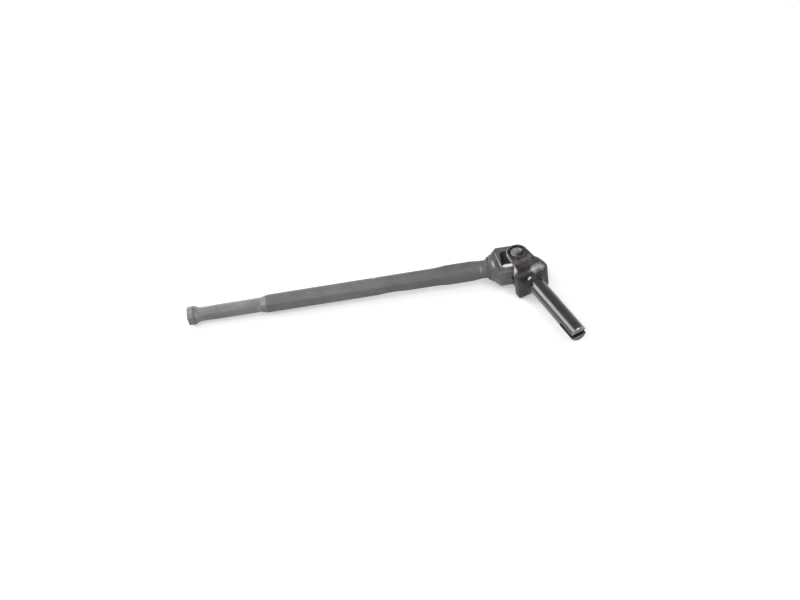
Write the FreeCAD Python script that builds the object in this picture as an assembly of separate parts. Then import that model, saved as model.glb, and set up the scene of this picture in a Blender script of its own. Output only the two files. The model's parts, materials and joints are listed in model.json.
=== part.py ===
import FreeCAD, Part
import math
import os
from FreeCAD import Placement, Rotation, Vector

# Steering tube: a telescoping hexagonal column tube, a universal joint and a short slotted stub shaft.
# Millimetres, +Z up. The assembly lies on its side on z = 0, as it comes to rest on a flat surface.
# Each piece is drawn about the joint centre. The tube runs along -X, and the stub along +X of its own frame.

# Universal joint: journal cross, bearing cups, needles and seals
CUP_RADIUS = 8.0
CUP_WALL = 1.5
CUP_FLOOR = 2.0
CUP_END = 19.2            # joint centre to the outer face of a cup
CUP_LENGTH = 9.7
CUP_EDGE = 0.8            # bevel of the cup's outer edge
CUP_DISH_RADIUS = 5.2     # shallow pressed dish in the cup's outer face
CUP_DISH_DEPTH = 0.4
CUP_FIT = 0.01            # radial clearance of a cup in its eye
NEEDLE_RADIUS = 1.25
NEEDLE_LENGTH = 6.4
NEEDLE_COUNT = 12
NEEDLE_CLEARANCE = 0.02
END_CLEARANCE = 0.1       # end play of the trunnions and the needles
TRUNNION_EDGE = 0.5
HUB_RADIUS = 8.2          # middle of the cross, about the tube's axis
HUB_THICKNESS = 12.0
HUB_EDGE = 1.5
ROOT_RADIUS = 6.5         # round root that each trunnion stands on
ROOT_END = 7.3
SEAL_RADIUS = 7.3
SEAL_GAP = 0.1            # seal to the cup, the trunnion and the cross
SEAL_GROOVE = 0.7         # depth and width of the groove that leaves the seal's two lips

# Fork on the tube
TUBE_FORK_WIDTH = 40.8    # over the outer faces of the two arms
TUBE_FORK_GAP = 26.0      # between the arms
TUBE_FORK_DEPTH = 19.2    # joint centre to the bottom of the gap
TUBE_FORK_CORNER = 5.0
ARM_RADIUS = 11.0         # round end of an arm about the eye, and half the height of its flats
ARM_EDGE = 1.2
FLAT_END = 21.5           # joint centre to where the flats of the arms rise to the shoulder
FLAT_RISE = 4.5
TURNED_RADIUS = 22.8      # turned outer radius of the forging
SHOULDER_START = 22.0     # joint centre to the wide end of the shoulder cone
SHOULDER_END = 28.6
SHOULDER_RADIUS = 17.0    # small end of the shoulder cone
RING_RADIUS = 15.6        # turned step between the shoulder and the collar
RING_START = 29.4
RING_END = 31.6
COLLAR_RADIUS = 13.5
COLLAR_START = 32.6
COLLAR_END = 35.4
COLLAR_EDGE = 0.6
TUBE_SEAT_FLOOR = 8.8     # metal between the gap and the end of the tube in its seat
WELD_LENGTH = 2.0
WELD_HEIGHT = 1.6
SEAT_CLEARANCE = 0.05

# Outer tube: hexagonal, drawn round and necked at the fork
WALL = 1.75
HEX_TURN = 5.0            # turn of the hexagon from the eyes of the fork, degrees
OUTER_FLATS = 19.4
OUTER_CORNER = 3.0
OUTER_LENGTH = 270.0
BEVEL_LENGTH = 6.5
BEVEL_FLATS = 16.4
BEVEL_CORNER = 2.4
ROUND_RADIUS = 11.4
NECK_RADIUS = 10.4
NECK_LENGTH = 15.0
NECK_TAPER = 12.0
ROUND_LENGTH = 28.0
BLEND_LENGTH = 12.0
CRIMP_FROM_MOUTH = 152.5  # middle of the pressed hollow that keys the two tubes
CRIMP_LENGTH = 36.0
CRIMP_DEPTH = 1.2

# Inner tube: slides in the outer one, with a widened hexagonal socket at its open end
SLIDE_CLEARANCE = 0.1
INNER_CORNER = 2.3
INNER_LENGTH = 248.5
INSERTION = 163.0         # length held inside the outer tube
SOCKET_FLATS = 20.6
SOCKET_CORNER = 3.0
SOCKET_BAND = 6.5
GROOVE_LENGTH = 1.0
GROOVE_FLATS = 19.7
FLARE_LENGTH = 5.5
WAIST_FLATS = 15.1
WAIST_LENGTH = 8.0
WAIST_TAPER = 10.0

# Moulded shear plugs through both tubes
PLUG_RADIUS = 1.5
PLUG_HEAD_RADIUS = 2.1
PLUG_HEAD_DEPTH = 0.6
PLUG_FROM_MOUTH = 132.5
PLUG_SIDE = 2             # flat of the hexagon that carries the upper plug, counted from the front arm
PLUG_RECESS = 0.1
PLUG_CLEARANCE = 0.02

# Fork on the stub shaft
STUB_FORK_HEIGHT = 41.4   # over the outer faces of the two ears
STUB_FORK_GAP = 31.4
STUB_FORK_DEPTH = 23.0    # joint centre to the bottom of the gap
STUB_FORK_CORNER = 5.0
EAR_RADIUS = 12.6
EAR_NECK = 27.6           # width of an ear where the base starts to widen
EAR_NECK_START = 17.0
EAR_PAD_RADIUS = 11.5     # thick pad inside each ear, round the eye
EAR_PAD_GAP = 26.4
STUB_BASE_WIDTH = 40.2
STUB_BASE_START = 26.0    # joint centre to where the base has its full width
STUB_BASE_END = 36.4
STUB_BASE_RADIUS = 25.2   # turned outer radius of the forging
STUB_BEND_RADIUS = 10.5
STUB_SIDE_RADIUS = 5.0    # upright corners of the base
EAR_EDGE = 1.6            # bevel round the outer face of an ear
BOSS_RADIUS = 12.8
BOSS_HEIGHT = 1.4
BOSS_EDGE = 0.5
BOSS_WELD = 2.8           # weld between the boss and the shaft
STUB_SEAT_DEPTH = 8.4     # length of shaft held in the base

# Eyes of both forks
RECESS_RADIUS = 9.0
RECESS_FLOOR = 18.4       # joint centre to the floor of the staking groove
STAKE_COUNT = 4
STAKE_WIDTH = 2.4
STAKE_REACH = 1.7
STAKE_HEIGHT = 0.5
STAKE_CLEARANCE = 0.02

# Stub shaft
SHAFT_RADIUS = 9.5
SPIGOT_RADIUS = 8.5       # turned-down end that the base holds
SHAFT_END = 128.2         # joint centre to the free end
SHAFT_CHAMFER = 1.0
SLOT_WIDTH = 6.0
SLOT_LENGTH = 24.0
SLOT_EDGE = 0.4

# Pose: angle of the stub to the tube about the stub's pins, degrees
BEND = 66.3

OVERCUT = 1.0             # how far a cutting tool runs past the metal
NEAR = 1e-3               # tolerance for finding an edge by its place

tube_seat = TUBE_FORK_DEPTH + TUBE_SEAT_FLOOR
outer_mouth = tube_seat + OUTER_LENGTH
inner_end = outer_mouth - INSERTION
tube_end = inner_end + INNER_LENGTH
inner_flats = OUTER_FLATS - 2 * WALL - 2 * SLIDE_CLEARANCE
cup_mouth = CUP_END - CUP_LENGTH
cup_bore = CUP_RADIUS - CUP_WALL
cup_floor = CUP_END - CUP_FLOOR
needle_circle = cup_bore - NEEDLE_CLEARANCE - NEEDLE_RADIUS
trunnion_radius = needle_circle - NEEDLE_RADIUS - NEEDLE_CLEARANCE
shaft_seat = STUB_BASE_END - STUB_SEAT_DEPTH
boss_end = STUB_BASE_END + BOSS_HEIGHT

X, Y, Z = Vector(1, 0, 0), Vector(0, 1, 0), Vector(0, 0, 1)
ORIGIN = Vector(0, 0, 0)


def cylinder(radius, start, end, axis=X):
    """Round bar from start to end along an axis through the joint centre."""
    return Part.makeCylinder(radius, end - start, axis * start, axis)


def turned(points):
    """Solid turned about the X axis from (x, radius) points, closed along the axis."""
    corners = [Vector(x, 0, radius) for x, radius in points]
    corners = [Vector(corners[0].x, 0, 0)] + corners + [Vector(corners[-1].x, 0, 0)]
    face = Part.Face(Part.makePolygon(corners + corners[:1]))
    return face.revolve(ORIGIN, X, 360)


def block(x, y, z):
    """Box between pairs of limits."""
    return Part.makeBox(x[1] - x[0], y[1] - y[0], z[1] - z[0], Vector(x[0], y[0], z[0]))


def extruded(edges, axis, half):
    """Closed outline in a plane through the joint centre, given depth to both sides of it."""
    face = Part.Face(Part.Wire(edges))
    face.translate(axis * -half)
    return face.extrude(axis * (2 * half))


def line(a, b):
    return Part.LineSegment(a, b).toShape()


def arc(a, b, c):
    return Part.Arc(a, b, c).toShape()


def across(degrees):
    """Direction in the tube's cross-section, measured from the front arm upwards."""
    return Vector(0, -math.cos(math.radians(degrees)), math.sin(math.radians(degrees)))


def corner_reach(flats, corner):
    """Tube axis to the centre of a rounded corner."""
    return (flats / 2 - corner) / math.cos(math.radians(30))


def hexagon(distance, flats, corner):
    """Hexagon with rounded corners, square to the tube at a distance from the joint centre."""
    reach = corner_reach(flats, corner)
    edges = []
    for n in range(6):
        angle = HEX_TURN + 30 + 60 * n
        centre = across(angle) * reach - X * distance
        a, b, c = (centre + across(angle + turn) * corner for turn in (-30, 0, 30))
        following = across(angle + 60) * reach - X * distance + across(angle + 30) * corner
        edges.append(arc(a, b, c))
        edges.append(line(c, following))
    return Part.Wire(edges)


def ring(distance, radius, flats, corner):
    """Circle cut into arcs that face the sides and corners of the hexagon that it blends to."""
    along = corner_reach(flats, corner) + corner * math.cos(math.radians(30))
    share = math.degrees(math.atan2(corner / 2, along))
    edges = []
    for n in range(6):
        angle = HEX_TURN + 30 + 60 * n
        for turns in ((-share, 0, share), (share, 30, 60 - share)):
            a, b, c = (across(angle + turn) * radius - X * distance for turn in turns)
            edges.append(arc(a, b, c))
    return Part.Wire(edges)


def skin(wires):
    return Part.makeLoft(wires, True, True)


def outer_tube_skin(inset, reach):
    """Skin of the outer tube, set in by an amount, and run past both ends by reach."""
    flats, corner = OUTER_FLATS - 2 * inset, OUTER_CORNER - inset
    neck_end = tube_seat + NECK_LENGTH
    round_start = neck_end + NECK_TAPER
    blend_start = round_start + ROUND_LENGTH
    hex_start = blend_start + BLEND_LENGTH
    stations = [(tube_seat - reach, NECK_RADIUS), (neck_end, NECK_RADIUS), (round_start, ROUND_RADIUS),
                (blend_start, ROUND_RADIUS)]
    wires = [ring(distance, radius - inset, flats, corner) for distance, radius in stations]
    wires.append(hexagon(hex_start, flats, corner))
    if inset:
        wires.append(hexagon(outer_mouth + reach, flats, corner))
    else:
        wires.append(hexagon(outer_mouth - BEVEL_LENGTH, flats, corner))
        wires.append(hexagon(outer_mouth, BEVEL_FLATS, BEVEL_CORNER))
    return skin(wires)


def plug_shape(side, clearance):
    """Headed plug that fills the holes of both tubes on one flat."""
    direction = across(HEX_TURN + 60 * side)
    middle = X * (PLUG_FROM_MOUTH - outer_mouth)
    top = OUTER_FLATS / 2 - PLUG_RECESS + (OVERCUT if clearance else 0)
    low = OUTER_FLATS / 2 - WALL - SLIDE_CLEARANCE - WALL - (OVERCUT if clearance else 0)
    head_low = OUTER_FLATS / 2 - PLUG_RECESS - PLUG_HEAD_DEPTH - clearance
    pin = Part.makeCylinder(PLUG_RADIUS + clearance, top - low, middle + direction * low, direction)
    head = Part.makeCylinder(PLUG_HEAD_RADIUS + clearance, top - head_low, middle + direction * head_low,
                             direction)
    return pin.fuse(head).removeSplitter()


def plug_sides():
    return PLUG_SIDE, PLUG_SIDE + 3


def crimp():
    """Round-bottomed press tool that hollows the flat of the lower plug."""
    direction = across(HEX_TURN + 60 * plug_sides()[1])
    radius = CRIMP_LENGTH ** 2 / (8 * CRIMP_DEPTH) + CRIMP_DEPTH / 2
    middle = X * (CRIMP_FROM_MOUTH - outer_mouth) + direction * (OUTER_FLATS / 2 - CRIMP_DEPTH + radius)
    axis = X.cross(direction)
    return Part.makeCylinder(radius, 4 * OUTER_FLATS, middle - axis * (2 * OUTER_FLATS), axis)


def outer_tube():
    tube = outer_tube_skin(0, 0).cut(outer_tube_skin(WALL, OVERCUT)).cut(crimp())
    for side in plug_sides():
        tube = tube.cut(plug_shape(side, PLUG_CLEARANCE))
    return tube


def inner_tube_skin(inset, reach):
    """Skin of the inner tube: plain hexagon, waist, flare, groove and socket band."""
    band_start = tube_end - SOCKET_BAND
    groove_start = band_start - GROOVE_LENGTH
    flare_start = groove_start - FLARE_LENGTH
    waist_start = flare_start - WAIST_LENGTH
    taper_start = waist_start - WAIST_TAPER
    stations = [
        (inner_end - reach, inner_flats, INNER_CORNER),
        (taper_start, inner_flats, INNER_CORNER),
        (waist_start, WAIST_FLATS, INNER_CORNER),
        (flare_start, WAIST_FLATS, INNER_CORNER),
        (groove_start, GROOVE_FLATS, SOCKET_CORNER),
    ]
    if not inset:
        stations.append((band_start, GROOVE_FLATS, SOCKET_CORNER))
        stations.append((band_start + GROOVE_LENGTH / 2, SOCKET_FLATS, SOCKET_CORNER))
    else:
        stations.append((band_start, SOCKET_FLATS, SOCKET_CORNER))
    stations.append((tube_end + reach, SOCKET_FLATS, SOCKET_CORNER))
    return skin([hexagon(d, flats - 2 * inset, corner - inset) for d, flats, corner in stations])


def inner_tube():
    tube = inner_tube_skin(0, 0).cut(inner_tube_skin(WALL, OVERCUT))
    for side in plug_sides():
        tube = tube.cut(plug_shape(side, PLUG_CLEARANCE))
    return tube


def eye():
    """Cutter for an eye along +Z: the bore for the cup, and the staking groove round its mouth."""
    bore = cylinder(CUP_RADIUS + CUP_FIT, 0, RECESS_FLOOR + OVERCUT, Z)
    return bore.fuse(cylinder(RECESS_RADIUS, RECESS_FLOOR, STUB_FORK_HEIGHT, Z))


def stakes():
    """Metal pressed in over the rim of a cup along +Z."""
    low = CUP_END + STAKE_CLEARANCE
    inner = RECESS_RADIUS - STAKE_REACH
    stake = block((inner, RECESS_RADIUS + STAKE_HEIGHT), (-STAKE_WIDTH / 2, STAKE_WIDTH / 2),
                  (low, low + STAKE_HEIGHT))
    pieces = []
    for n in range(STAKE_COUNT):
        piece = stake.copy()
        piece.rotate(ORIGIN, Z, 45 + 360 / STAKE_COUNT * n)
        pieces.append(piece)
    return pieces


def bored(fork, axes):
    """Fork with an eye and its stakes on each of the given axes."""
    for axis in axes:
        turn = Placement(ORIGIN, Rotation(Z, axis))
        tool = eye()
        tool.Placement = turn
        fork = fork.cut(tool)
    for axis in axes:
        turn = Placement(ORIGIN, Rotation(Z, axis))
        for stake in stakes():
            stake.Placement = turn.multiply(stake.Placement)
            fork = fork.fuse(stake)
    return fork.removeSplitter()


def tube_yoke():
    outline = [(ARM_RADIUS, TURNED_RADIUS), (-SHOULDER_START, TURNED_RADIUS),
               (-SHOULDER_END, SHOULDER_RADIUS), (-RING_START, RING_RADIUS), (-RING_END, RING_RADIUS),
               (-COLLAR_START, COLLAR_RADIUS), (-COLLAR_END + COLLAR_EDGE, COLLAR_RADIUS),
               (-COLLAR_END, COLLAR_RADIUS - COLLAR_EDGE)]
    back = -COLLAR_END - OVERCUT
    shoulder = ARM_RADIUS + FLAT_RISE
    a, b = Vector(0, 0, ARM_RADIUS), Vector(0, 0, -ARM_RADIUS)
    c, d = Vector(-FLAT_END, 0, -ARM_RADIUS), Vector(-FLAT_END - FLAT_RISE, 0, -shoulder)
    e, f = Vector(back, 0, -shoulder), Vector(back, 0, shoulder)
    g, h = Vector(-FLAT_END - FLAT_RISE, 0, shoulder), Vector(-FLAT_END, 0, ARM_RADIUS)
    side = extruded([arc(a, X * ARM_RADIUS, b), line(b, c), line(c, d), line(d, e), line(e, f), line(f, g),
                     line(g, h), line(h, a)], Y, TUBE_FORK_WIDTH / 2)
    rounded = [edge for edge in side.Edges if is_arm_edge(edge)]
    fork = side.makeFillet(ARM_EDGE, rounded).common(turned(outline))
    gap = block((-TUBE_FORK_DEPTH, ARM_RADIUS + OVERCUT), (-TUBE_FORK_GAP / 2, TUBE_FORK_GAP / 2),
                (-TURNED_RADIUS, TURNED_RADIUS))
    corners = [edge for edge in gap.Edges
               if abs(edge.CenterOfMass.x + TUBE_FORK_DEPTH) < NEAR and abs(edge.CenterOfMass.z) < NEAR]
    fork = fork.cut(gap.makeFillet(TUBE_FORK_CORNER, corners))
    seat = NECK_RADIUS + SEAT_CLEARANCE
    weld = turned([(-COLLAR_END, seat + WELD_HEIGHT), (-COLLAR_END - WELD_LENGTH, seat)])
    fork = fork.fuse(weld).cut(cylinder(seat, -COLLAR_END - WELD_LENGTH - OVERCUT, -tube_seat))
    return bored(fork, (-Y, Y))


def is_arm_edge(edge):
    """Whether an edge runs along the flats or round the end of an arm, on its outer face."""
    middle = edge.CenterOfMass
    on_face = abs(abs(middle.y) - TUBE_FORK_WIDTH / 2) < NEAR
    return on_face and middle.x > -FLAT_END - NEAR


def stub_side():
    """Blank of the stub fork seen from the side: two ears that bend into the base."""
    height, bend = STUB_FORK_HEIGHT / 2, STUB_BEND_RADIUS
    low = STUB_BASE_END - bend
    slant = bend * math.cos(math.radians(45))
    upper = [Vector(-EAR_RADIUS, 0, height), Vector(low, 0, height)]
    upper_arc = Vector(low + slant, 0, height - bend + slant)
    face = [Vector(STUB_BASE_END, 0, height - bend), Vector(STUB_BASE_END, 0, bend - height)]
    lower_arc = Vector(low + slant, 0, bend - height - slant)
    lower = [Vector(low, 0, -height), Vector(-EAR_RADIUS, 0, -height)]
    edges = [line(*upper), arc(upper[1], upper_arc, face[0]), line(*face)]
    edges += [arc(face[1], lower_arc, lower[0]), line(*lower), line(lower[1], upper[0])]
    return extruded(edges, Y, STUB_BASE_WIDTH)


def stub_plan():
    """Blank of the stub fork seen from above: round ear, straight flanks and the wider base."""
    half = STUB_BASE_WIDTH / 2
    points = [Vector(0, EAR_RADIUS, 0), Vector(EAR_NECK_START, EAR_NECK / 2, 0),
              Vector(STUB_BASE_START, half, 0), Vector(STUB_BASE_END, half, 0)]
    mirrored = [Vector(p.x, -p.y, 0) for p in reversed(points)]
    outline = [line(p, q) for p, q in zip(points, points[1:])]
    outline.append(line(points[-1], mirrored[0]))
    outline += [line(p, q) for p, q in zip(mirrored, mirrored[1:])]
    outline.append(arc(mirrored[-1], X * -EAR_RADIUS, points[0]))
    plan = extruded(outline, Z, STUB_FORK_HEIGHT / 2)
    corners = [edge for edge in plan.Edges
               if edge.CenterOfMass.x > STUB_BASE_END - NEAR and abs(edge.CenterOfMass.z) < NEAR]
    return plan.makeFillet(STUB_SIDE_RADIUS, corners)


def is_ear_edge(edge):
    """Whether an edge runs round an ear on its outer face, short of the bend."""
    middle = edge.CenterOfMass
    on_face = abs(abs(middle.z) - STUB_FORK_HEIGHT / 2) < NEAR
    return on_face and middle.x < STUB_BASE_END - STUB_BEND_RADIUS - NEAR


def stub_yoke():
    blank = stub_side().common(stub_plan())
    blank = blank.makeChamfer(EAR_EDGE, [edge for edge in blank.Edges if is_ear_edge(edge)])
    fork = blank.common(cylinder(STUB_BASE_RADIUS, -EAR_RADIUS - OVERCUT, STUB_BASE_END + OVERCUT))
    gap = block((-EAR_RADIUS - OVERCUT, STUB_FORK_DEPTH), (-STUB_BASE_WIDTH, STUB_BASE_WIDTH),
                (-STUB_FORK_GAP / 2, STUB_FORK_GAP / 2))
    corners = [edge for edge in gap.Edges
               if abs(edge.CenterOfMass.y) < NEAR and edge.CenterOfMass.x > STUB_FORK_DEPTH - NEAR]
    fork = fork.cut(gap.makeFillet(STUB_FORK_CORNER, corners))
    for axis in (Z, -Z):
        fork = fork.fuse(cylinder(EAR_PAD_RADIUS, EAR_PAD_GAP / 2, STUB_FORK_GAP / 2 + OVERCUT, axis))
    boss = turned([
        (STUB_BASE_END - OVERCUT, BOSS_RADIUS), (boss_end - BOSS_EDGE, BOSS_RADIUS),
        (boss_end, BOSS_RADIUS - BOSS_EDGE), (boss_end, SHAFT_RADIUS + BOSS_WELD / 2),
        (boss_end + BOSS_WELD, SHAFT_RADIUS)])
    seat = cylinder(SPIGOT_RADIUS + SEAT_CLEARANCE, shaft_seat, boss_end + BOSS_WELD + OVERCUT)
    return bored(fork.fuse(boss).cut(seat), (Z, -Z))


def stub_shaft():
    shoulder = boss_end + BOSS_WELD + SEAT_CLEARANCE
    bar = turned([(shaft_seat, SPIGOT_RADIUS), (shoulder, SPIGOT_RADIUS), (shoulder, SHAFT_RADIUS),
                  (SHAFT_END - SHAFT_CHAMFER, SHAFT_RADIUS), (SHAFT_END, SHAFT_RADIUS - SHAFT_CHAMFER)])
    half, wide, past = SLOT_WIDTH / 2, SHAFT_RADIUS + OVERCUT, SHAFT_END + OVERCUT
    slot = block((SHAFT_END - SLOT_LENGTH, past), (-wide, wide), (-half, half))
    flared = half + SLOT_EDGE + OVERCUT
    mouth = [Vector(SHAFT_END - SLOT_EDGE, 0, -half), Vector(past, 0, -flared),
             Vector(past, 0, flared), Vector(SHAFT_END - SLOT_EDGE, 0, half)]
    funnel = extruded([line(p, q) for p, q in zip(mouth, mouth[1:] + mouth[:1])], Y, wide)
    return bar.cut(slot).cut(funnel)


def cross():
    hub = cylinder(HUB_RADIUS, -HUB_THICKNESS / 2, HUB_THICKNESS / 2)
    hub = hub.makeChamfer(HUB_EDGE, [edge for edge in hub.Edges if edge.Closed])
    hub = hub.common(block((-HUB_THICKNESS, HUB_THICKNESS), (-ROOT_END, ROOT_END), (-ROOT_END, ROOT_END)))
    body = hub
    for axis in (Y, -Y, Z, -Z):
        body = body.fuse(cylinder(ROOT_RADIUS, 0, ROOT_END, axis))
        trunnion = cylinder(trunnion_radius, 0, cup_floor - END_CLEARANCE, axis)
        far = [edge for edge in trunnion.Edges if edge.Closed and edge.CenterOfMass.Length > CUP_RADIUS]
        body = body.fuse(trunnion.makeChamfer(TRUNNION_EDGE, far))
    return body.removeSplitter()


def bearing_cup():
    cup = cylinder(CUP_RADIUS, cup_mouth, CUP_END, Z)
    rim = [edge for edge in cup.Edges if edge.Closed and edge.CenterOfMass.z > CUP_END - NEAR]
    cup = cup.makeChamfer(CUP_EDGE, rim)
    cup = cup.cut(cylinder(cup_bore, cup_mouth - OVERCUT, cup_floor, Z))
    return cup.cut(cylinder(CUP_DISH_RADIUS, CUP_END - CUP_DISH_DEPTH, CUP_END + OVERCUT, Z))


def needle_set():
    needle = Part.makeCylinder(NEEDLE_RADIUS, NEEDLE_LENGTH, Vector(needle_circle, 0, 0), Z)
    needle.translate(Z * (cup_floor - END_CLEARANCE - NEEDLE_LENGTH))
    needles = []
    for n in range(NEEDLE_COUNT):
        piece = needle.copy()
        piece.rotate(ORIGIN, Z, 360 / NEEDLE_COUNT * n)
        needles.append(piece)
    return Part.makeCompound(needles)


def cup_seal():
    low, high = ROOT_END + SEAL_GAP, cup_mouth - SEAL_GAP
    ring_body = cylinder(SEAL_RADIUS, low, high, Z).cut(
        cylinder(trunnion_radius + SEAL_GAP, low - OVERCUT, high + OVERCUT, Z))
    middle = (low + high) / 2
    groove = cylinder(SEAL_RADIUS + OVERCUT, middle - SEAL_GROOVE / 2, middle + SEAL_GROOVE / 2, Z).cut(
        cylinder(SEAL_RADIUS - SEAL_GROOVE, middle - SEAL_GROOVE, middle + SEAL_GROOVE, Z))
    return ring_body.cut(groove)


# The stub fork lies flat on its lower ear, which holds the joint centre half the fork's height up.
# The tube slopes from the joint centre down to the lowest corner of its socket.
joint_height = STUB_FORK_HEIGHT / 2
lean = math.radians((HEX_TURN + 30) % 60 - 30)
socket_low = corner_reach(SOCKET_FLATS, SOCKET_CORNER) * math.cos(lean) + SOCKET_CORNER
tube_pitch = math.degrees(math.asin(joint_height / math.hypot(tube_end, socket_low))
                          - math.atan2(socket_low, tube_end))
tube_place = Placement(Z * joint_height, Rotation(Y, -tube_pitch))
cross_place = Placement(Z * joint_height, Rotation())
stub_place = Placement(Z * joint_height, Rotation(Z, -BEND))
EARS = {"upper": Z, "lower": -Z}
ARMS = {"front": -Y, "rear": Y}

pieces = {
    "outer_tube": (outer_tube(), tube_place),
    "inner_tube": (inner_tube(), tube_place),
    "shear_plug_upper": (plug_shape(plug_sides()[0], 0), tube_place),
    "shear_plug_lower": (plug_shape(plug_sides()[1], 0), tube_place),
    "tube_yoke": (tube_yoke(), tube_place),
    "cross": (cross(), cross_place),
    "stub_yoke": (stub_yoke(), stub_place),
    "stub_shaft": (stub_shaft(), stub_place),
}
for places, place in ((EARS, stub_place), (ARMS, tube_place)):
    for name, axis in places.items():
        outward = place.multiply(Placement(ORIGIN, Rotation(Z, axis)))
        pieces["bearing_cup_" + name] = (bearing_cup(), outward)
        pieces["needles_" + name] = (needle_set(), outward)
        pieces["seal_" + name] = (cup_seal(), outward)

solids = {}
for name, (shape, place) in pieces.items():
    solid = shape.copy()
    solid.Placement = place.multiply(solid.Placement)
    solids[name] = solid

box = FreeCAD.BoundBox()
for solid in solids.values():
    box.add(solid.optimalBoundingBox(False))
centre = Vector((box.XMin + box.XMax) / 2, (box.YMin + box.YMax) / 2, 0)

os.makedirs("parts", exist_ok=True)
for name, solid in solids.items():
    solid.translate(centre * -1)
    solid.exportStep("parts/" + name + ".step")
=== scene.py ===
import json
import math

import bmesh
import bpy
from mathutils import Matrix, Vector


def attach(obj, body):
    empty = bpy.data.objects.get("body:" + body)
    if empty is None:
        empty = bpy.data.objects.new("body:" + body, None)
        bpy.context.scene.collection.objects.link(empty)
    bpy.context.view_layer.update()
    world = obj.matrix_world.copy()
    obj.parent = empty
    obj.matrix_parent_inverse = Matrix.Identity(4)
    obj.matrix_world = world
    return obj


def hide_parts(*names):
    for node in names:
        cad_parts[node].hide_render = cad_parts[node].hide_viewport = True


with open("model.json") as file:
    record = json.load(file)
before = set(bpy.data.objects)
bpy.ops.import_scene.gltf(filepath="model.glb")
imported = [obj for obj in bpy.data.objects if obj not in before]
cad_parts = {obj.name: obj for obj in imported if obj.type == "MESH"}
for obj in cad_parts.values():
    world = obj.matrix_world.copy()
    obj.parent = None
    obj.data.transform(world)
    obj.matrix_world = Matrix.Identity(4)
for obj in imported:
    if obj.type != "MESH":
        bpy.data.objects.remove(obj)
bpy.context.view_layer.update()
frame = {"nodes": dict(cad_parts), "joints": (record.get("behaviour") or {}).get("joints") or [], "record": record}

nodes = frame["nodes"]

# Viewpoint
# The camera looks down on the joint from the front, as in the photograph, with a little roll. Its place is
# measured from the joint centre, where the two hinges of the joint cross.
joint_centre = Vector(frame["joints"][0]["pos_m"])
camera_place = joint_centre + Vector((-0.04607, -0.93597, 0.96224))
camera_right = Vector((0.99004, -0.08962, -0.10862))
camera_down = Vector((-0.1397, -0.72189, -0.67776))
camera_forward = Vector((-0.01767, 0.68618, -0.72721))

camera_data = bpy.data.cameras.new("camera")
camera_data.sensor_width = 36.0
camera_data.lens = 52.858
camera_data.shift_x = -0.075
camera_data.shift_y = -0.0125
camera_data.clip_start = 0.05
camera_data.clip_end = 20.0
camera = bpy.data.objects.new("camera", camera_data)
camera_turn = Matrix((camera_right, -camera_down, -camera_forward)).transposed().to_4x4()
camera.matrix_world = Matrix.Translation(camera_place) @ camera_turn
bpy.context.scene.collection.objects.link(camera)
bpy.context.scene.camera = camera

# Studio
# A pale floor, white walls and soft lamps: a large one overhead, one behind on the left that draws the long
# gleam on the bar, and a narrow one on the right for the bend of the black fork.
bpy.context.scene.view_settings.view_transform = "Standard"


def softbox(name, direction, distance, width, height, power, tint=(1.0, 1.0, 1.0)):
    """Rectangular soft lamp aimed at the part from a direction."""
    data = bpy.data.lights.new(name, "AREA")
    data.shape = "RECTANGLE"
    data.size = width
    data.size_y = height
    data.energy = power
    data.color = tint
    lamp = bpy.data.objects.new(name, data)
    aim = Vector(direction).normalized()
    lamp.location = aim * distance
    lamp.rotation_mode = "QUATERNION"
    lamp.rotation_quaternion = aim.to_track_quat("Z", "Y")
    bpy.context.scene.collection.objects.link(lamp)


softbox("over_lamp", direction=(-0.25, -0.55, 1.0), distance=1.6, width=1.1, height=1.1, power=8.0)
softbox("left_lamp", direction=(-0.754, 0.355, 0.552), distance=1.5, width=0.8, height=0.8, power=13.0)
softbox("right_lamp", direction=(0.50, -0.445, 0.745), distance=1.5, width=0.5, height=1.1, power=9.0,
        tint=(0.9, 0.95, 1.0))


def seen_rays(tree):
    """Whether a ray shows the surroundings, to the camera or in a reflection, and doesn't light with them."""
    path = tree.nodes.new("ShaderNodeLightPath")
    seen = path.outputs["Is Camera Ray"]
    for name in ("Is Glossy Ray", "Is Transmission Ray"):
        widest = tree.nodes.new("ShaderNodeMath")
        widest.operation = "MAXIMUM"
        tree.links.new(seen, widest.inputs[0])
        tree.links.new(path.outputs[name], widest.inputs[1])
        seen = widest.outputs[0]
    return seen


def by_ray(tree, lighting, shown):
    """Grey level that lights the part at one value and shows at another, a number or a socket."""
    level = tree.nodes.new("ShaderNodeMapRange")
    level.inputs["To Min"].default_value = lighting
    if isinstance(shown, float):
        level.inputs["To Max"].default_value = shown
    else:
        tree.links.new(shown, level.inputs["To Max"])
    tree.links.new(seen_rays(tree), level.inputs["Value"])
    return level.outputs["Result"]


wall_lighting = 0.42
world = bpy.data.worlds.new("studio")
bpy.context.scene.world = world
world.use_nodes = True
sky = world.node_tree
direction = sky.nodes.new("ShaderNodeTexCoord")
height = sky.nodes.new("ShaderNodeSeparateXYZ")
sky.links.new(direction.outputs["Generated"], height.inputs[0])
walls = sky.nodes.new("ShaderNodeMapRange")
walls.interpolation_type = "SMOOTHSTEP"
walls.inputs["From Min"].default_value = 0.1
walls.inputs["From Max"].default_value = 0.55
walls.inputs["To Min"].default_value = 0.95
walls.inputs["To Max"].default_value = 0.45
sky.links.new(height.outputs["Z"], walls.inputs["Value"])
wall_level = by_ray(sky, wall_lighting, walls.outputs["Result"])
sky.links.new(wall_level, sky.nodes["Background"].inputs["Strength"])
sky.nodes["Background"].inputs["Color"].default_value = (1.0, 1.0, 1.0, 1.0)

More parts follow.
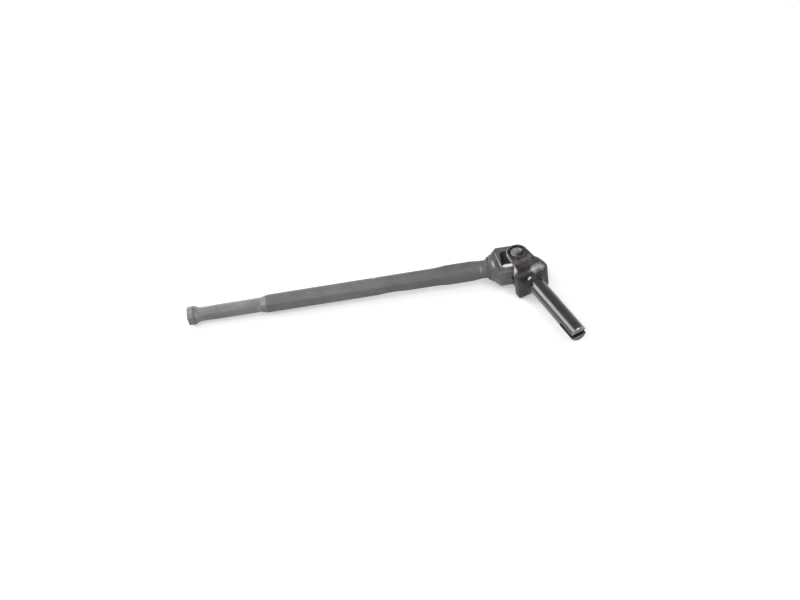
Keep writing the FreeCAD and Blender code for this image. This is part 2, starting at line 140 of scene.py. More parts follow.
floor_mesh = bpy.data.meshes.new("floor")
floor_grid = bmesh.new()
bmesh.ops.create_grid(floor_grid, x_segments=1, y_segments=1, size=6.0)
floor_grid.to_mesh(floor_mesh)
floor_grid.free()
floor = bpy.data.objects.new("floor", floor_mesh)
bpy.context.scene.collection.objects.link(floor)
floor_finish = bpy.data.materials.new("pale_floor")
floor_finish.use_nodes = True
floor_shader = floor_finish.node_tree.nodes["Principled BSDF"]
for name, lighting, shown in (("Base Color", 0.4, 0.8), ("Emission Strength", 0.0, 0.34)):
    level = by_ray(floor_finish.node_tree, lighting, shown)
    floor_finish.node_tree.links.new(level, floor_shader.inputs[name])
floor_shader.inputs["Emission Color"].default_value = (1.0, 1.0, 1.0, 1.0)
floor_shader.inputs["Roughness"].default_value = 0.9
floor_shader.inputs["Specular IOR Level"].default_value = 0.1
floor_mesh.materials.append(floor_finish)

# Outer tube
# A hexagonal steel tube, cold drawn, then necked round where it enters the fork. It is phosphated a dull dark
# grey, with faint lengthwise draw marks, and the bevel at its mouth is rubbed bright by the inner tube. A painted
# highlight makes the bevel brighter on its upper side, and a small painted highlight lies on the neck.


def group_input(group, name, kind, value=None):
    made = group.interface.new_socket(name=name, in_out="INPUT", socket_type="NodeSocket" + kind)
    if value is not None:
        made.default_value = value


def group_output(group, name, kind):
    group.interface.new_socket(name=name, in_out="OUTPUT", socket_type="NodeSocket" + kind)


def joined(tree, operation, first, second):
    """Math node with each input a socket or a number."""
    node = tree.nodes.new("ShaderNodeMath")
    node.operation = operation
    for place, value in enumerate((first, second)):
        if isinstance(value, (int, float)):
            node.inputs[place].default_value = value
        else:
            tree.links.new(value, node.inputs[place])
    return node.outputs[0]


def blended(tree, share, first, second):
    """Colour mix with each colour a socket or a tuple."""
    node = tree.nodes.new("ShaderNodeMix")
    node.data_type = "RGBA"
    tree.links.new(share, node.inputs["Factor"])
    for name, value in (("A", first), ("B", second)):
        place = [s for s in node.inputs if s.name == name and s.type == "RGBA"][0]
        if isinstance(value, tuple):
            place.default_value = (*value, 1.0)
        else:
            tree.links.new(value, place)
    return [s for s in node.outputs if s.type == "RGBA"][0]


def steel_skin_group():
    """Cloudy patches, fine grit and lengthwise draw marks, along the X axis of the given coordinates."""
    group = bpy.data.node_groups.new("steel_skin", "ShaderNodeTree")
    group_input(group, "Vector", "Vector")
    group_input(group, "Cloud Scale", "Float", 60.0)
    group_input(group, "Grit Scale", "Float", 1400.0)
    group_input(group, "Drawn", "Float", 0.05)
    for name in ("Cloud", "Grit", "Streak"):
        group_output(group, name, "Float")
    inside = group.nodes.new("NodeGroupInput")
    out = group.nodes.new("NodeGroupOutput")
    for name, detail in (("Cloud", 5.0), ("Grit", 3.0)):
        noise = group.nodes.new("ShaderNodeTexNoise")
        noise.inputs["Detail"].default_value = detail
        group.links.new(inside.outputs["Vector"], noise.inputs["Vector"])
        group.links.new(inside.outputs[name + " Scale"], noise.inputs["Scale"])
        group.links.new(noise.outputs["Fac"], out.inputs[name])
    ratio = group.nodes.new("ShaderNodeCombineXYZ")
    group.links.new(inside.outputs["Drawn"], ratio.inputs["X"])
    ratio.inputs["Y"].default_value = 1.0
    ratio.inputs["Z"].default_value = 1.0
    stretch = group.nodes.new("ShaderNodeVectorMath")
    stretch.operation = "MULTIPLY"
    group.links.new(inside.outputs["Vector"], stretch.inputs[0])
    group.links.new(ratio.outputs[0], stretch.inputs[1])
    drawn = group.nodes.new("ShaderNodeTexNoise")
    drawn.inputs["Scale"].default_value = 420.0
    drawn.inputs["Detail"].default_value = 4.0
    group.links.new(stretch.outputs[0], drawn.inputs["Vector"])
    group.links.new(drawn.outputs["Fac"], out.inputs["Streak"])
    return group


def edge_rub_group():
    """Mask of the outer edges, where handling has rubbed the finish, broken up by noise."""
    group = bpy.data.node_groups.new("edge_rub", "ShaderNodeTree")
    group_input(group, "Vector", "Vector")
    group_input(group, "Reach", "Float", 0.0006)
    group_output(group, "Mask", "Float")
    group_output(group, "Normal", "Vector")
    inside = group.nodes.new("NodeGroupInput")
    out = group.nodes.new("NodeGroupOutput")
    bevel = group.nodes.new("ShaderNodeBevel")
    bevel.samples = 6
    group.links.new(inside.outputs["Reach"], bevel.inputs["Radius"])
    plain = group.nodes.new("ShaderNodeNewGeometry")
    dot = group.nodes.new("ShaderNodeVectorMath")
    dot.operation = "DOT_PRODUCT"
    group.links.new(bevel.outputs["Normal"], dot.inputs[0])
    group.links.new(plain.outputs["True Normal"], dot.inputs[1])
    edge = group.nodes.new("ShaderNodeMapRange")
    edge.inputs["From Min"].default_value = 0.992
    edge.inputs["From Max"].default_value = 0.95
    group.links.new(dot.outputs["Value"], edge.inputs["Value"])
    noise = group.nodes.new("ShaderNodeTexNoise")
    noise.inputs["Scale"].default_value = 500.0
    noise.inputs["Detail"].default_value = 3.0
    group.links.new(inside.outputs["Vector"], noise.inputs["Vector"])
    patch = group.nodes.new("ShaderNodeMapRange")
    patch.inputs["From Min"].default_value = 0.34
    patch.inputs["From Max"].default_value = 0.52
    group.links.new(noise.outputs["Fac"], patch.inputs["Value"])
    mask = joined(group, "MULTIPLY", edge.outputs["Result"], patch.outputs["Result"])
    group.links.new(mask, out.inputs["Mask"])
    group.links.new(bevel.outputs["Normal"], out.inputs["Normal"])
    return group


steel_skin = steel_skin_group()
edge_rub = edge_rub_group()


class Finish:
    """A material under way, with the colour so far and coordinates that are centred on the joint.

    Along the tube x is below 0 and z points up, and along the stub shaft x is above 0. All are in metres.
    """

    def __init__(self, name, turn):
        self.material = bpy.data.materials.new(name)
        self.material.use_nodes = True
        self.tree = self.material.node_tree
        self.shader = self.tree.nodes["Principled BSDF"]
        self.colour = None
        place = self.tree.nodes.new("ShaderNodeTexCoord")
        mapping = self.tree.nodes.new("ShaderNodeMapping")
        mapping.vector_type = "TEXTURE"
        mapping.inputs["Location"].default_value = joint_centre
        mapping.inputs["Rotation"].default_value = turn
        self.tree.links.new(place.outputs["Object"], mapping.inputs["Vector"])
        self.along = mapping.outputs["Vector"]
        split = self.tree.nodes.new("ShaderNodeSeparateXYZ")
        self.tree.links.new(self.along, split.inputs[0])
        self.x, self.y, self.z = split.outputs

    def effect(self, group, **values):
        """Outputs of a shared effect, placed with its own values."""
        node = self.tree.nodes.new("ShaderNodeGroup")
        node.node_tree = group
        self.tree.links.new(self.along, node.inputs["Vector"])
        for name, value in values.items():
            node.inputs[name.replace("_", " ")].default_value = value
        return node.outputs

    def math(self, operation, first, second=0.0):
        return joined(self.tree, operation, first, second)

    def ranged(self, value, limits, result=(0.0, 1.0)):
        """Value that runs through the result as the first value runs through its limits, and stops there."""
        node = self.tree.nodes.new("ShaderNodeMapRange")
        node.inputs["From Min"].default_value = limits[0]
        node.inputs["From Max"].default_value = limits[1]
        node.inputs["To Min"].default_value = result[0]
        node.inputs["To Max"].default_value = result[1]
        self.tree.links.new(value, node.inputs["Value"])
        return node.outputs["Result"]

    def band(self, value, limits, soft):
        """Mask of the stretch between two places, with soft ends."""
        start, end = limits
        rise = self.ranged(value, (start - soft, start + soft))
        fall = self.ranged(value, (end + soft, end - soft))
        return self.math("MULTIPLY", rise, fall)

    def overlap(self, mask, *others):
        """Mask of where all the masks are. A number among them weakens it."""
        for other in others:
            mask = self.math("MULTIPLY", mask, other)
        return mask

    def either(self, mask, *others):
        """Mask of where any of the masks is."""
        for other in others:
            mask = self.math("MAXIMUM", mask, other)
        return mask

    def ragged(self, mask, noise):
        """Mask whose soft edge is broken up by a noise."""
        rough = self.math("ADD", mask, self.math("MULTIPLY", noise, 0.9))
        return self.ranged(rough, (0.7, 1.2))

    def slanted(self, lean):
        """Place along the piece, measured on a line that leans across it."""
        return self.math("ADD", self.x, self.math("MULTIPLY", self.y, lean))

    def skin_colour(self, share, low, high):
        """Starts the colour as a blend of two shades of the skin."""
        self.colour = blended(self.tree, share, low, high)

    def paint(self, mask, colour):
        """Lays another colour over the colour so far."""
        self.colour = blended(self.tree, mask, self.colour, colour)

    def bump(self, height, strength, distance, normal=None):
        """Normal of a raised pattern, over another normal if there is one."""
        node = self.tree.nodes.new("ShaderNodeBump")
        node.inputs["Strength"].default_value = strength
        node.inputs["Distance"].default_value = distance
        self.tree.links.new(height, node.inputs["Height"])
        if normal is not None:
            self.tree.links.new(normal, node.inputs["Normal"])
        return node.outputs["Normal"]

    def wire(self, **links):
        """Links the colour and the named values to the shader."""
        self.tree.links.new(self.colour, self.shader.inputs["Base Color"])
        for name, value in links.items():
            self.tree.links.new(value, self.shader.inputs[name.replace("_", " ")])

    def dress(self, *names):
        for name in names:
            mesh = nodes[name].data
            mesh.materials.clear()
            mesh.materials.append(self.material)


tube_axis = Vector(frame["record"]["mounts"][1]["axis"])
tube_slope = math.atan2(-tube_axis.z, -tube_axis.x)
tube_turn = (0.0, -tube_slope, 0.0)
mouth_x = -0.298
bevel_length = 0.0065
bevel_shade_z = (-0.003, 0.004)
joint_end_x = (-0.2, -0.09)
neck_highlight_x = (-0.0436, -0.042)
neck_highlight_y = (-0.002, -0.004)
neck_highlight_z = (0.0045, 0.0092)
whole_noise = (0.3, 0.7)
middle_noise = (0.35, 0.65)

dark_tube = Finish("dark_tube_steel", tube_turn)
skin = dark_tube.effect(steel_skin, Cloud_Scale=55.0, Grit_Scale=1500.0, Drawn=0.03)
rub = dark_tube.effect(edge_rub, Reach=0.0005)
cloud = dark_tube.ranged(skin["Cloud"], whole_noise)
dark_tube.skin_colour(cloud, low=(0.122, 0.116, 0.114), high=(0.172, 0.163, 0.16))
draw_marks = dark_tube.ranged(skin["Streak"], (0.52, 0.72), (0.0, 0.4))
dark_tube.paint(draw_marks, (0.21, 0.2, 0.195))
grit = dark_tube.ranged(skin["Grit"], middle_noise, (0.0, 0.35))
dark_tube.paint(grit, (0.075, 0.072, 0.07))
joint_end = dark_tube.ranged(dark_tube.x, joint_end_x, (0.0, 0.4))
dark_tube.paint(joint_end, (0.07, 0.068, 0.066))
# The mouth bevel is rubbed bright, and a painted highlight makes it brighter towards its upper side.
mouth_bevel_wear_and_highlight = dark_tube.overlap(
    dark_tube.band(dark_tube.x, (mouth_x, mouth_x + bevel_length), soft=0.0012),
    dark_tube.ranged(dark_tube.z, bevel_shade_z, (0.12, 1.0)),
    dark_tube.ranged(skin["Cloud"], (0.3, 0.62), (0.2, 0.85)))
# Painted highlight: a small bright spot on the neck of the tube.
neck_highlight = dark_tube.overlap(
    dark_tube.band(dark_tube.x, neck_highlight_x, soft=0.0008),
    dark_tube.band(dark_tube.z, neck_highlight_z, soft=0.0012),
    dark_tube.ranged(dark_tube.y, neck_highlight_y, (0.0, 0.6)))
# Rubbed edges and bevel together with the painted highlights, laid on in one bright grey.
highlight_and_rub = dark_tube.either(mouth_bevel_wear_and_highlight, dark_tube.overlap(rub["Mask"], 0.4), neck_highlight)
dark_tube.paint(highlight_and_rub, (0.4, 0.39, 0.39))
drawn_bump = dark_tube.bump(skin["Streak"], strength=0.12, distance=0.0002)
dark_tube.wire(
    Roughness=dark_tube.ranged(skin["Grit"], whole_noise, (0.5, 0.66)),
    Metallic=dark_tube.ranged(highlight_and_rub, (0.0, 1.0), (0.1, 0.5)),
    Normal=dark_tube.bump(skin["Grit"], strength=0.25, distance=0.0002, normal=drawn_bump))
dark_tube.dress("outer_tube")

# Inner tube
# The smaller hexagonal tube, drawn to a bright lengthwise grain that the phosphate only greys. Its end is
# swaged out to a hexagonal socket, with a pressed groove behind the band. A band of painted shade lies in the
# groove, and the lower facets are painted darker as painted shade.
groove_x = (-0.3772, -0.3742)
worn_length = 0.006
upper_corner_z = 0.0056
underside_z = (upper_corner_z + 0.0006, upper_corner_z - 0.0008)

grey_tube = Finish("grey_tube_steel", tube_turn)
skin = grey_tube.effect(steel_skin, Cloud_Scale=70.0, Grit_Scale=1300.0, Drawn=0.02)
cloud = grey_tube.ranged(skin["Cloud"], whole_noise)
grey_tube.skin_colour(cloud, low=(0.168, 0.165, 0.173), high=(0.25, 0.246, 0.256))
pale_marks = grey_tube.ranged(skin["Streak"], (0.5, 0.75), (0.0, 0.7))
grey_tube.paint(pale_marks, (0.38, 0.37, 0.385))
dark_marks = grey_tube.ranged(skin["Streak"], (0.46, 0.26), (0.0, 0.75))
grey_tube.paint(dark_marks, (0.11, 0.106, 0.112))
near_mouth = grey_tube.overlap(
    grey_tube.band(grey_tube.x, (mouth_x - worn_length, mouth_x), soft=0.002),
    grey_tube.ranged(skin["Cloud"], (0.35, 0.6)), 0.45)
grey_tube.paint(near_mouth, (0.5, 0.49, 0.49))
# Painted shade: a dark band in the groove behind the socket.
groove_shade = grey_tube.overlap(grey_tube.band(grey_tube.x, groove_x, soft=0.0007), 0.6)
grey_tube.paint(groove_shade, (0.1, 0.09, 0.09))
# Painted shade: the lower facets of the tube are painted darker.
underside_shade = grey_tube.overlap(grey_tube.ranged(grey_tube.z, underside_z), 0.36)
grey_tube.paint(underside_shade, (0.075, 0.075, 0.077))
grit_bump = grey_tube.bump(skin["Grit"], strength=0.12, distance=0.0001)
grey_tube.wire(
    Roughness=grey_tube.ranged(skin["Streak"], whole_noise, (0.36, 0.52)),
    Metallic=grey_tube.ranged(skin["Cloud"], whole_noise, (0.08, 0.25)),
    Normal=grey_tube.bump(skin["Streak"], strength=0.25, distance=0.0002, normal=grit_bump))
grey_tube.dress("inner_tube")

# Shear plugs
# Moulded in place through matching holes in the two tubes, of a cream natural plastic, so that the tubes
# stay put in use and slide together in a crash.
plug = Finish("moulded_plug", tube_turn)
skin = plug.effect(steel_skin, Cloud_Scale=600.0, Grit_Scale=4000.0)
plug.skin_colour(plug.ranged(skin["Cloud"], middle_noise), low=(0.55, 0.5, 0.38), high=(0.78, 0.74, 0.62))
plug.shader.inputs["Subsurface Weight"].default_value = 0.05
plug.wire(
    Roughness=plug.ranged(skin["Grit"], whole_noise, (0.45, 0.6)),
    Normal=plug.bump(skin["Cloud"], strength=0.2, distance=0.0002))
plug.dress("shear_plug_upper", "shear_plug_lower")

# Fork on the tube
# A steel forging, turned behind the arms to a stepped shoulder and a collar, and welded round the tube. Its
# skin is dull grey with a fine forged grain, and the turned corners are rubbed bright. Two bright lines on the
# upper side of the fork are painted highlights, the collar groove holds a band of painted shade, and the skin
# is painted darker towards the collar.
collar_groove_x = (-0.0362, -0.0335)
collar_x = (-0.0298, -0.0312)
parting_highlight_x = (-0.0231, -0.0215)
parting_highlight_y = (-0.012, 0.008)
parting_highlight_lean = 0.24
shoulder_highlight_x = (-0.0298, -0.0286)
shoulder_highlight_y = (-0.0122, -0.0045)
shoulder_highlight_lean = 0.12
seen_from_above_z = (0.008, 0.01)
collar_dark = (0.035, 0.034, 0.033)

forged = Finish("forged_steel", tube_turn)
skin = forged.effect(steel_skin, Cloud_Scale=110.0, Grit_Scale=900.0, Drawn=1.0)
rub = forged.effect(edge_rub, Reach=0.0009)
cloud = forged.ranged(skin["Cloud"], whole_noise)
forged.skin_colour(cloud, low=(0.108, 0.106, 0.103), high=(0.17, 0.167, 0.162))
grit = forged.ranged(skin["Grit"], middle_noise, (0.0, 0.4))
forged.paint(grit, (0.06, 0.058, 0.056))
# Painted shade: a dark band in the groove at the collar. The next line paints the skin darker towards the collar.
collar_groove_shade = forged.overlap(forged.band(forged.x, collar_groove_x, soft=0.0008), 0.7)
forged.paint(collar_groove_shade, collar_dark)
forged.paint(forged.ranged(forged.x, collar_x, (0.0, 0.24)), collar_dark)
# Painted highlights: two bright lines on the upper side of the fork, broken up by the grit, laid on with the
# rubbed edges.
parting_highlight = forged.overlap(
    forged.band(forged.slanted(parting_highlight_lean), parting_highlight_x, soft=0.0005),
    forged.band(forged.y, parting_highlight_y, soft=0.003))
shoulder_highlight = forged.overlap(
    forged.band(forged.slanted(shoulder_highlight_lean), shoulder_highlight_x, soft=0.0005),
    forged.band(forged.y, shoulder_highlight_y, soft=0.0025))
painted_highlight_lines = forged.overlap(
    forged.either(parting_highlight, shoulder_highlight),
    forged.ranged(forged.z, seen_from_above_z))
wear_and_highlight = forged.either(
    forged.overlap(forged.ragged(painted_highlight_lines, skin["Grit"]), 0.85),
    forged.overlap(rub["Mask"], 0.3))
forged.paint(wear_and_highlight, (0.62, 0.61, 0.6))
cloud_bump = forged.bump(skin["Cloud"], strength=0.25, distance=0.0006, normal=rub["Normal"])
forged.wire(
    Roughness=forged.ranged(skin["Grit"], whole_noise, (0.42, 0.6)),
    Metallic=forged.ranged(wear_and_highlight, (0.0, 1.0), (0.3, 0.6)),
    Normal=forged.bump(skin["Grit"], strength=0.3, distance=0.0002, normal=cloud_bump))
forged.dress("tube_yoke")

# Cross, bearing cups and needles
# Ground and hardened bearing steel. The floors of the cups show fine turning rings about their own axis and are
# painted darker towards the middle. They are also darker on one side, and the gap round each cup is painted dark
# as painted shade.
ring_fineness = 18000.0
cup_floor_radius = (0.0058, 0.0036)
cup_rim_radius = (0.0068, 0.0076)
one_side_dark_x = (-0.0005, 0.0025)
one_side_dark_y = (-0.006, -0.001)


def axis_distance(finish):
    """Distance from the Z axis of the finish's coordinates."""
    squared = finish.math("ADD", finish.math("MULTIPLY", finish.x, finish.x),
                          finish.math("MULTIPLY", finish.y, finish.y))
    return finish.math("POWER", squared, 0.5)


stub_axis = Vector(frame["record"]["mounts"][0]["axis"])
stub_angle = math.atan2(stub_axis.y, stub_axis.x)
stub_turn = (0.0, 0.0, stub_angle)
arms_turn = (math.radians(90), -tube_slope, 0.0)

for part, turn in (("ears", stub_turn), ("arms", arms_turn)):
    bright = Finish("bearing_steel_" + part, turn)
    skin = bright.effect(steel_skin, Cloud_Scale=260.0, Grit_Scale=3000.0)
    radius = axis_distance(bright)
    wave = bright.math("SINE", bright.math("MULTIPLY", radius, ring_fineness))
    rings = bright.ranged(wave, (-1.0, 1.0))
    cloud = bright.ranged(skin["Cloud"], middle_noise)
    bright.skin_colour(cloud, low=(0.42, 0.415, 0.41), high=(0.68, 0.675, 0.67))
    specks = bright.ranged(skin["Grit"], (0.55, 0.75), (0.0, 0.7))
    bright.paint(specks, (0.12, 0.115, 0.11))
    # The cups and cross are painted darker on one side.
    one_side_dark = bright.overlap(
        bright.ranged(bright.x, one_side_dark_x),
        bright.ranged(bright.y, one_side_dark_y),
        bright.ranged(skin["Cloud"], (0.25, 0.5), (0.6, 1.0)))
    bright.paint(one_side_dark, (0.045, 0.042, 0.04))
    # The floor of each cup is painted darker towards the middle.
    cup_middle_dark = bright.ranged(radius, cup_floor_radius, (0.0, 0.35))
    bright.paint(cup_middle_dark, (0.16, 0.158, 0.155))
    # Painted shade: the gap round each cup is painted dark.
    bright.paint(bright.ranged(radius, cup_rim_radius), (0.06, 0.058, 0.056))
    cloud_bump = bright.bump(skin["Cloud"], strength=0.15, distance=0.0002)
    bright.wire(
        Roughness=bright.ranged(skin["Cloud"], whole_noise, (0.22, 0.42)),
        Metallic=bright.ranged(skin["Grit"], (0.55, 0.75), (0.95, 0.6)),
        Normal=bright.bump(rings, strength=0.12, distance=0.0001, normal=cloud_bump))
    if part == "ears":
        bright.dress("bearing_cup_upper", "bearing_cup_lower", "needles_upper", "needles_lower", "cross")
    else:
        bright.dress("bearing_cup_front", "bearing_cup_rear", "needles_front", "needles_rear")

# Seals
# A black rubber ring at the mouth of each cup, moulded with a groove between its two lips. It is pressed on
# and keeps the grease in with the needles.
rubber = Finish("seal_rubber", stub_turn)
skin = rubber.effect(steel_skin, Cloud_Scale=400.0, Grit_Scale=2500.0)
cloud = rubber.ranged(skin["Cloud"], whole_noise)
rubber.skin_colour(cloud, low=(0.016, 0.016, 0.016), high=(0.035, 0.034, 0.033))
rubber.wire(
    Roughness=rubber.ranged(skin["Grit"], whole_noise, (0.55, 0.75)),
    Normal=rubber.bump(skin["Grit"], strength=0.2, distance=0.0001))
rubber.dress("seal_upper", "seal_lower", "seal_front", "seal_rear")

# Fork on the stub shaft
# A black forging, semi-gloss with oil, whose edges are all soft from the die. The eyes are bored and staked
# after forging. The upper ear is rubbed to a brownish steel, and the bar is welded into the boss of the base.
# The bend from the upper ear to the base carries a painted highlight, the flank of the upper ear a painted
# reflection, and the edge of the boss a painted glint.
fork_half_height = 0.0207
ear_radius = 0.0126
ear_inner = 0.0132
rim_inset = 0.0002
rim_depth = 0.0016
eye_radius = 0.00801
eye_start = 0.010
eye_groove_radius = 0.009
eye_groove_floor = 0.0184
eye_overlap = 0.0008
seat_radius = 0.00855
seat_start = 0.028
seat_overlap = 0.0005
seat_end_overlap = 0.001
base_end = 0.0364
weld_end = 0.0406
drill_overlap = 0.0002
clear_of_ear = 0.025
clear_of_base = 0.05
stake_middle = 0.0084
stake_length = 0.0022
stake_width = 0.0024
stake_height = 0.0005
stake_low = 0.01922
stakes_in_an_eye = 4
sharp_angle = math.radians(40)

stub_frame = Matrix.Translation(joint_centre) @ Matrix.Rotation(stub_angle, 4, "Z")
along_stub = Matrix.Rotation(math.radians(90), 4, "Y")
both_ears = (Matrix(), Matrix.Rotation(math.radians(180), 4, "X"))


def round_bar(shape, radius, start, end, turn):
    """Adds a closed round bar from start to end along the Z axis of the turned stub frame."""
    place = stub_frame @ turn @ Matrix.Translation((0.0, 0.0, (start + end) / 2))
    bmesh.ops.create_cone(shape, cap_ends=True, segments=96, radius1=radius, radius2=radius,
                          depth=end - start, matrix=place)


def made_piece(name, shape):
    """Object of a bmesh, with its modifiers still to come."""
    mesh = bpy.data.meshes.new(name)
    shape.to_mesh(mesh)
    shape.free()
    piece = bpy.data.objects.new(name, mesh)
    bpy.context.scene.collection.objects.link(piece)
    return piece


def apply_modifiers(piece):
    graph = bpy.context.evaluated_depsgraph_get()
    piece.data = bpy.data.meshes.new_from_object(piece.evaluated_get(graph))
    piece.modifiers.clear()


# The eyes and the seat of the bar are filled before the edges are softened, with a little overlap, and bored
# again afterwards, so that their own edges stay sharp.
blank = bmesh.new()
blank.from_mesh(nodes["stub_yoke"].data)
bmesh.ops.remove_doubles(blank, verts=blank.verts, dist=1e-6)
for turn in both_ears:
    round_bar(blank, ear_radius - rim_inset, ear_inner, fork_half_height - rim_depth, turn)
    round_bar(blank, eye_groove_radius + eye_overlap, ear_inner, fork_half_height, turn)
round_bar(blank, seat_radius + seat_overlap, seat_start - seat_end_overlap, weld_end, along_stub)
forging = made_piece("stub_fork_forging", blank)
skin_over = forging.modifiers.new("skin_over", "REMESH")
skin_over.mode = "VOXEL"
skin_over.voxel_size = 0.0005
soft_edges = forging.modifiers.new("soft_edges", "SMOOTH")
soft_edges.factor = 0.5
soft_edges.iterations = 75
apply_modifiers(forging)

drills = bmesh.new()
for turn in both_ears:
    round_bar(drills, eye_radius, eye_start, eye_groove_floor + drill_overlap, turn)
    round_bar(drills, eye_groove_radius, eye_groove_floor, clear_of_ear, turn)
round_bar(drills, seat_radius, seat_start, clear_of_base, along_stub)
drill_set = made_piece("drills", drills)
boring = forging.modifiers.new("boring", "BOOLEAN")
boring.operation = "DIFFERENCE"
boring.solver = "EXACT"
boring.use_self = True
boring.object = drill_set
apply_modifiers(forging)
bpy.data.objects.remove(drill_set)

finished = bmesh.new()
finished.from_mesh(forging.data)
for turn in both_ears:
    for number in range(stakes_in_an_eye):
        round_the_eye = Matrix.Rotation(math.radians(45 + 360 * number / stakes_in_an_eye), 4, "Z")
        middle = Matrix.Translation((stake_middle, 0.0, stake_low + stake_height / 2))
        size = Matrix.Diagonal((stake_length, stake_width, stake_height, 1.0))
        bmesh.ops.create_cube(finished, size=1.0, matrix=stub_frame @ turn @ round_the_eye @ middle @ size)
finished.to_mesh(forging.data)
finished.free()
forging.data.shade_smooth()
forging.data.set_sharp_from_angle(angle=sharp_angle)
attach(forging, "stub")
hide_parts("stub_yoke")

ear_top_z = (0.0185, 0.0198)
worn_ear_x = (0.010, 0.019)
boss_glint_x = (base_end - 0.0002, base_end + 0.001)
boss_glint_y = (-0.0078, -0.004)
boss_glint_z = (0.0085, 0.0092)
bend_x = (0.0282, 0.0316)
bend_lean = 0.2
bend_y = (-0.0004, 0.0142)
bend_z = (0.0122, 0.0158)
ear_taper = 0.14
flank_out = (0.0106, 0.0116)
flank_x = (0.031, 0.022)
flank_y = (-0.003, -0.007)
flank_z = (0.011, 0.013)
front_x = (0.033, 0.0366)
front_y = (-0.006, 0.012)
front_z = (0.013, 0.009)
oiled_x = (0.0358, 0.0335)
oiled_y = (-0.006, 0.001)
oiled_z = (0.009, 0.014)

black_forging = Finish("black_forging", stub_turn)
skin = black_forging.effect(steel_skin, Cloud_Scale=150.0, Grit_Scale=700.0, Drawn=1.0)
cloud = black_forging.ranged(skin["Cloud"], middle_noise)
black_forging.skin_colour(cloud, low=(0.014, 0.0135, 0.0135), high=(0.042, 0.04, 0.04))
worn_ear = black_forging.overlap(
    black_forging.ranged(black_forging.z, ear_top_z),
    black_forging.band(black_forging.x, worn_ear_x, soft=0.003),
    black_forging.ranged(skin["Cloud"], (0.38, 0.55)), 0.7)
black_forging.paint(worn_ear, (0.15, 0.113, 0.097))
# Painted glint: a small bright patch on the upper edge of the boss.
boss_glint = black_forging.overlap(
    black_forging.band(black_forging.x, boss_glint_x, soft=0.0005),
    black_forging.band(black_forging.y, boss_glint_y, soft=0.0012),
    black_forging.ranged(black_forging.z, boss_glint_z))
boss_glint = black_forging.ragged(boss_glint, skin["Grit"])
# Painted highlight: a bluish bright patch on the bend from the upper ear to the base.
bend_highlight = black_forging.overlap(
    black_forging.ranged(black_forging.slanted(bend_lean), bend_x),
    black_forging.ranged(black_forging.z, bend_z),
    black_forging.band(black_forging.y, bend_y, soft=0.003))
bend_highlight = black_forging.ragged(bend_highlight, skin["Cloud"])
# Painted reflection: a bright strip on the flank of the upper ear.
past_eye = black_forging.math("MINIMUM", black_forging.x, 0.0)
squared = black_forging.math("ADD", black_forging.math("MULTIPLY", past_eye, past_eye),
                             black_forging.math("MULTIPLY", black_forging.y, black_forging.y))
widening = black_forging.math("MULTIPLY", black_forging.math("MAXIMUM", black_forging.x, 0.0), ear_taper)
outward = black_forging.math("SUBTRACT", black_forging.math("POWER", squared, 0.5), widening)
flank_reflection = black_forging.overlap(
    black_forging.ranged(outward, flank_out),
    black_forging.ranged(black_forging.z, flank_z),
    black_forging.ranged(black_forging.y, flank_y),
    black_forging.ranged(black_forging.x, flank_x))
flank_reflection = black_forging.ragged(flank_reflection, skin["Cloud"])
# The painted highlight on the bend and the painted reflection on the flank, laid on together.
highlight_and_rub = black_forging.overlap(
    black_forging.either(black_forging.overlap(bend_highlight, 0.62), flank_reflection),
    black_forging.ranged(skin["Cloud"], (0.3, 0.6), (0.45, 1.0)))
front = black_forging.overlap(
    black_forging.band(black_forging.x, front_x, soft=0.0004),
    black_forging.ranged(black_forging.z, front_z),
    black_forging.ranged(skin["Grit"], (0.35, 0.6), (0.3, 1.0)),
    black_forging.ranged(black_forging.y, front_y, (0.55, 1.0)))
black_forging.paint(front, (0.066, 0.065, 0.067))
black_forging.paint(highlight_and_rub, (0.36, 0.36, 0.385))
black_forging.paint(boss_glint, (0.75, 0.75, 0.76))
oiled = black_forging.overlap(
    black_forging.ranged(black_forging.z, oiled_z),
    black_forging.ranged(black_forging.x, oiled_x),
    black_forging.ranged(black_forging.y, oiled_y),
    black_forging.ranged(skin["Cloud"], (0.3, 0.6), (0.5, 1.0)))
black_forging.shader.inputs["Specular IOR Level"].default_value = 0.26
black_forging.shader.inputs["Coat Roughness"].default_value = 0.22
black_forging.shader.inputs["Coat IOR"].default_value = 1.6
cloud_bump = black_forging.bump(skin["Cloud"], strength=0.35, distance=0.0008)
black_forging.wire(
    Roughness=black_forging.ranged(skin["Cloud"], whole_noise, (0.3, 0.5)),
    Coat_Weight=oiled,
    Metallic=black_forging.ranged(black_forging.either(highlight_and_rub, boss_glint), (0.0, 1.0), (0.02, 0.3)),
    Normal=black_forging.bump(skin["Grit"], strength=0.22, distance=0.0003, normal=cloud_bump))
forging.data.materials.clear()
forging.data.materials.append(black_forging.material)

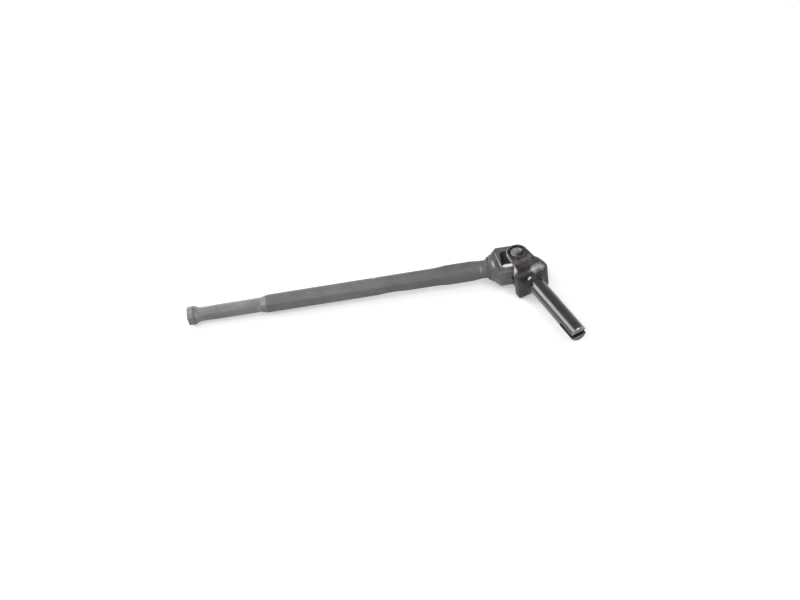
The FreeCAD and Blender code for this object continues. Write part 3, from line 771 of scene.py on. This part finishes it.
# Stub shaft
# A ground round bar, blacked and oiled to a gloss, with a slot sawn across its free end. The slot is painted
# dark as painted shade, the lip round the upper half of the end carries a painted highlight, and a painted
# reflection greys the bar low on one side.
slot_start_x = 0.1042
slot_half = 0.003
shaft_end_x = 0.1282
end_bevel_x = (shaft_end_x - 0.001, shaft_end_x - 0.0001)
end_bevel_z = (0.002, 0.005)
low_side_reflection_y = (-0.0045, -0.008)
low_side_reflection_z = (0.0045, -0.0005)

bar = Finish("black_bar", stub_turn)
skin = bar.effect(steel_skin, Cloud_Scale=80.0, Grit_Scale=1600.0, Drawn=0.05)
rub = bar.effect(edge_rub, Reach=0.0006)
cloud = bar.ranged(skin["Cloud"], whole_noise)
bar.skin_colour(cloud, low=(0.012, 0.012, 0.013), high=(0.026, 0.026, 0.027))
ground_marks = bar.ranged(skin["Streak"], (0.55, 0.75), (0.0, 0.3))
bar.paint(ground_marks, (0.07, 0.07, 0.072))
# Painted reflection: the bar is painted a lighter grey low on one side.
low_side_reflection = bar.overlap(bar.ranged(bar.y, low_side_reflection_y), bar.ranged(bar.z, low_side_reflection_z), 0.4)
bar.paint(low_side_reflection, (0.12, 0.12, 0.122))
# Painted shade: the slot is painted dark.
slot_shade = bar.overlap(
    bar.ranged(bar.x, (slot_start_x - 0.0004, slot_start_x)),
    bar.band(bar.z, (-slot_half, slot_half), soft=0.0001))
bar.paint(slot_shade, (0.02, 0.0195, 0.019))
end_face = bar.overlap(bar.ranged(bar.x, (shaft_end_x - 0.0002, shaft_end_x)), 0.08)
bar.paint(end_face, (0.085, 0.083, 0.081))
# Painted highlight: the bevel round the upper half of the end is painted bright, laid on with the rubbed edges.
end_bevel_highlight = bar.overlap(
    bar.band(bar.x, end_bevel_x, soft=0.0002),
    bar.ranged(bar.z, end_bevel_z), 0.8)
wear_and_highlight = bar.either(end_bevel_highlight, bar.overlap(rub["Mask"], 0.4))
bar.paint(wear_and_highlight, (0.45, 0.45, 0.46))
bar.shader.inputs["Specular IOR Level"].default_value = 0.9
grit_bump = bar.bump(skin["Grit"], strength=0.06, distance=0.0001, normal=rub["Normal"])
bar.wire(
    Roughness=bar.ranged(skin["Streak"], whole_noise, (0.17, 0.27)),
    Metallic=bar.ranged(wear_and_highlight, (0.0, 1.0), (0.05, 0.8)),
    Normal=bar.bump(skin["Streak"], strength=0.1, distance=0.0001, normal=grit_bump))
bar.dress("stub_shaft")
